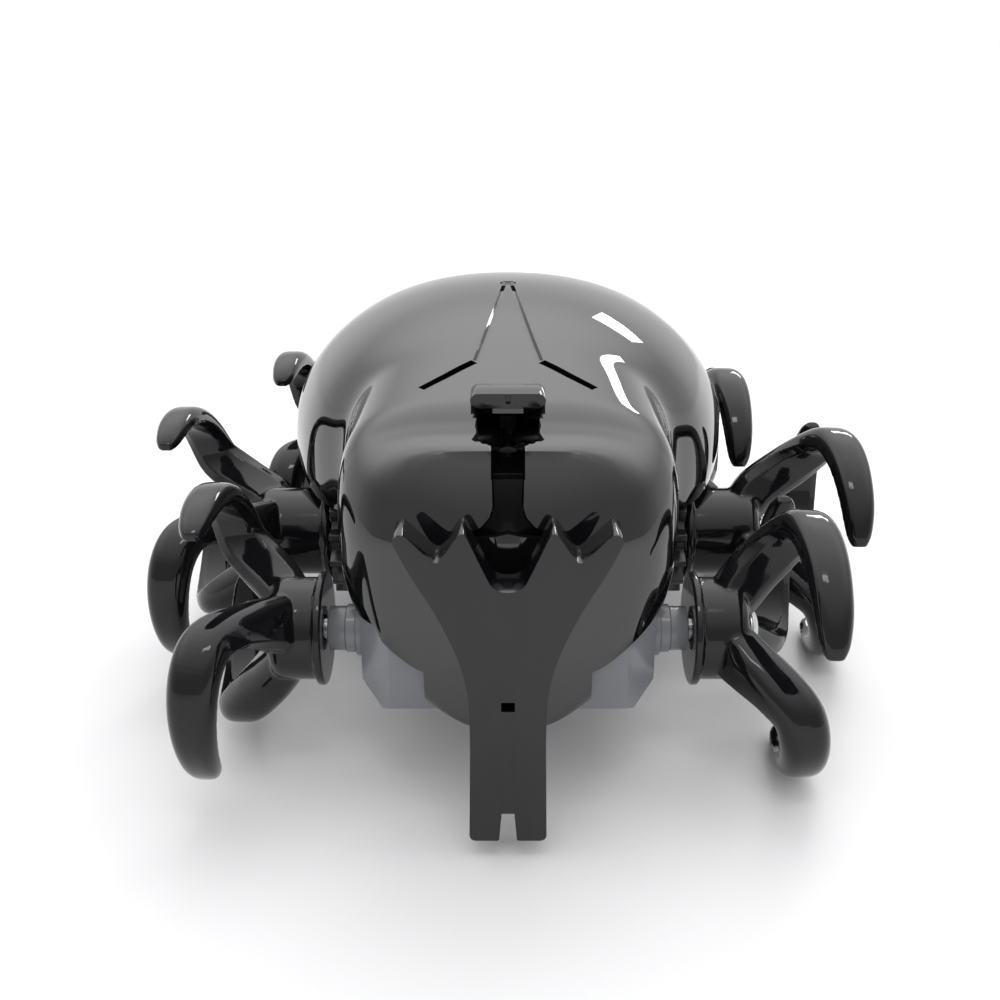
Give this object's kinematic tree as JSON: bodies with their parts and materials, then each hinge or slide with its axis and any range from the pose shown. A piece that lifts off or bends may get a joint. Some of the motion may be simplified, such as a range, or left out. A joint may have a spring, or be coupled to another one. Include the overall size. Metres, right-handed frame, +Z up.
{
  "type": "hexapod spider robot",
  "caption": "Toy hexapod robot: glossy beetle shell over a slim chassis, claw rotors turning on side axles through gear trains, crowned horn in front.",
  "frame": {"origin": "on the ground below the middle of the whole machine", "axes": "the robot faces -Y, +X is to the right of someone facing it, +Z is up"},
  "size_m": [0.0854, 0.088, 0.0467],
  "materials": {
    "shell_gloss": "polished dark grey ABS, mirror gloss",
    "leg_gloss": "polished black ABS",
    "horn_satin": "satin charcoal plastic, polished edges",
    "window_black": "infrared-clear black plastic, glossy",
    "chassis_grey": "light grey moulded plastic, soft sheen",
    "gear_black": "black acetal, satin",
    "gear_white": "natural acetal, satin",
    "steel": "turned steel",
    "board_green": "solder-masked fibreglass board",
    "cell_wrap": "heat-shrink wrapped cell",
    "switch_red": "moulded switch knob"
  },
  "bodies": {
    "frame": {"upper_shell": "shell_gloss", "ir_window": "window_black", "brow_cap": "horn_satin", "horn": "horn_satin", "chassis_tub": "chassis_grey", "motor_deck": "chassis_grey", "circuit_board": "board_green", "battery": "cell_wrap", "battery_door": "chassis_grey", "door_screw": "steel", "shell_screw_1": "steel", "shell_screw_2": "steel", "shell_screw_3": "steel", "shell_screw_4": "steel", "right_gearmotor": "steel", "left_gearmotor": "steel"},
    "switch_slider": {"power_switch": "switch_red"},
    "right_front_rotor": {"right_front_leg": "leg_gloss", "right_front_axle": "steel", "right_front_gear": "gear_white", "right_front_leg_screw": "steel"},
    "right_mid_rotor": {"right_mid_leg": "leg_gloss", "right_mid_axle": "steel", "right_mid_gear": "gear_white", "right_mid_leg_screw": "steel", "right_drive_gear": "gear_black"},
    "right_rear_rotor": {"right_rear_leg": "leg_gloss", "right_rear_axle": "steel", "right_rear_gear": "gear_white", "right_rear_leg_screw": "steel"},
    "right_front_idler_body": {"right_front_idler": "gear_white"},
    "right_rear_idler_body": {"right_rear_idler": "gear_white"},
    "right_pinion_body": {"right_pinion": "gear_black"},
    "left_front_rotor": {"left_front_leg": "leg_gloss", "left_front_axle": "steel", "left_front_gear": "gear_white", "left_front_leg_screw": "steel"},
    "left_mid_rotor": {"left_mid_leg": "leg_gloss", "left_mid_axle": "steel", "left_mid_gear": "gear_white", "left_mid_leg_screw": "steel", "left_drive_gear": "gear_black"},
    "left_rear_rotor": {"left_rear_leg": "leg_gloss", "left_rear_axle": "steel", "left_rear_gear": "gear_white", "left_rear_leg_screw": "steel"},
    "left_front_idler_body": {"left_front_idler": "gear_white"},
    "left_rear_idler_body": {"left_rear_idler": "gear_white"},
    "left_pinion_body": {"left_pinion": "gear_black"}
  },
  "joints": [
    {"name": "power_switch_slide", "type": "slide", "parent": "frame", "child": "switch_slider", "axis": [0, 1, 0], "range_m": [0, 0.003]},
    {"name": "right_front_spin", "type": "hinge", "parent": "frame", "child": "right_front_rotor", "pos_m": [0.0253, -0.026, 0.01634], "axis": [1, 0, 0], "continuous": true},
    {"name": "right_mid_spin", "type": "hinge", "parent": "frame", "child": "right_mid_rotor", "pos_m": [0.0313, 0, 0.01634], "axis": [1, 0, 0], "continuous": true},
    {"name": "right_rear_spin", "type": "hinge", "parent": "frame", "child": "right_rear_rotor", "pos_m": [0.0253, 0.026, 0.01634], "axis": [1, 0, 0], "continuous": true},
    {"name": "right_front_idler_spin", "type": "hinge", "parent": "frame", "child": "right_front_idler_body", "pos_m": [0.008, -0.013, 0.01634], "axis": [1, 0, 0], "continuous": true},
    {"name": "right_rear_idler_spin", "type": "hinge", "parent": "frame", "child": "right_rear_idler_body", "pos_m": [0.008, 0.013, 0.01634], "axis": [1, 0, 0], "continuous": true},
    {"name": "right_pinion_spin", "type": "hinge", "parent": "frame", "child": "right_pinion_body", "pos_m": [0.021, 0.006, 0.02673], "axis": [1, 0, 0], "continuous": true},
    {"name": "left_front_spin", "type": "hinge", "parent": "frame", "child": "left_front_rotor", "pos_m": [-0.0253, -0.026, 0.01634], "axis": [1, 0, 0], "continuous": true},
    {"name": "left_mid_spin", "type": "hinge", "parent": "frame", "child": "left_mid_rotor", "pos_m": [-0.0313, 0, 0.01634], "axis": [1, 0, 0], "continuous": true},
    {"name": "left_rear_spin", "type": "hinge", "parent": "frame", "child": "left_rear_rotor", "pos_m": [-0.0253, 0.026, 0.01634], "axis": [1, 0, 0], "continuous": true},
    {"name": "left_front_idler_spin", "type": "hinge", "parent": "frame", "child": "left_front_idler_body", "pos_m": [-0.008, -0.013, 0.01634], "axis": [1, 0, 0], "continuous": true},
    {"name": "left_rear_idler_spin", "type": "hinge", "parent": "frame", "child": "left_rear_idler_body", "pos_m": [-0.008, 0.013, 0.01634], "axis": [1, 0, 0], "continuous": true},
    {"name": "left_pinion_spin", "type": "hinge", "parent": "frame", "child": "left_pinion_body", "pos_m": [-0.021, 0.006, 0.02673], "axis": [1, 0, 0], "continuous": true}
  ],
  "couplings": [
    {"joint": "right_front_spin", "follows": "right_mid_spin", "ratio": 1},
    {"joint": "right_rear_spin", "follows": "right_mid_spin", "ratio": 1},
    {"joint": "right_front_idler_spin", "follows": "right_mid_spin", "ratio": -0.73333},
    {"joint": "right_rear_idler_spin", "follows": "right_mid_spin", "ratio": -0.73333},
    {"joint": "right_pinion_spin", "follows": "right_mid_spin", "ratio": -1.4},
    {"joint": "left_front_spin", "follows": "left_mid_spin", "ratio": 1},
    {"joint": "left_rear_spin", "follows": "left_mid_spin", "ratio": 1},
    {"joint": "left_front_idler_spin", "follows": "left_mid_spin", "ratio": -0.73333},
    {"joint": "left_rear_idler_spin", "follows": "left_mid_spin", "ratio": -0.73333},
    {"joint": "left_pinion_spin", "follows": "left_mid_spin", "ratio": -1.4}
  ]
}
